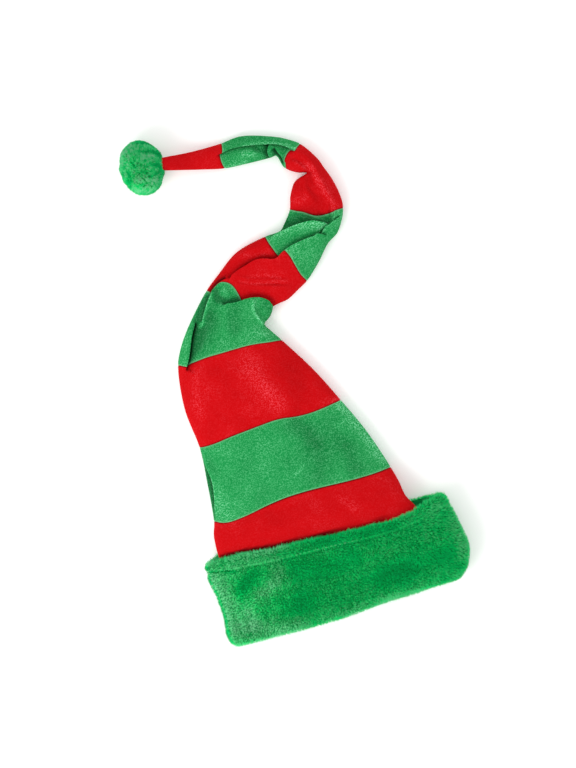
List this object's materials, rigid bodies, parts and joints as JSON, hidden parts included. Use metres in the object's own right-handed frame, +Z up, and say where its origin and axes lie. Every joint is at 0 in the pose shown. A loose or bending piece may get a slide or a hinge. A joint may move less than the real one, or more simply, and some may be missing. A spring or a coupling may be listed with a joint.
{
  "type": "elf hat",
  "caption": "Long striped elf hat of velour with a turned-up plush brim and a pompom at the tip of its curled tail, lying flat.",
  "frame": {"origin": "middle of the turned-up brim, on the surface that the hat lies on", "axes": "+X across the brim to its right end, +Y from the head opening towards the tail, +Z up from the surface"},
  "size_m": [0.3113, 0.6198, 0.052],
  "materials": {
    "red_velour": "short-napped red velour with a soft sheen",
    "green_velour": "short-napped green velour with a fine speckled nap",
    "green_plush": "green plush with a pile of about 4 mm"
  },
  "bodies": {
    "root": {"cuff": "green_plush", "stripe_1_red": "red_velour", "stripe_2_green": "green_velour", "stripe_3_red": "red_velour", "stripe_4_green": "green_velour", "stripe_5_red": "red_velour", "stripe_6_green": "green_velour", "stripe_7_red": "red_velour", "stripe_8_green": "green_velour", "stripe_9_red": "red_velour", "pompom": "green_plush"}
  },
  "joints": []
}
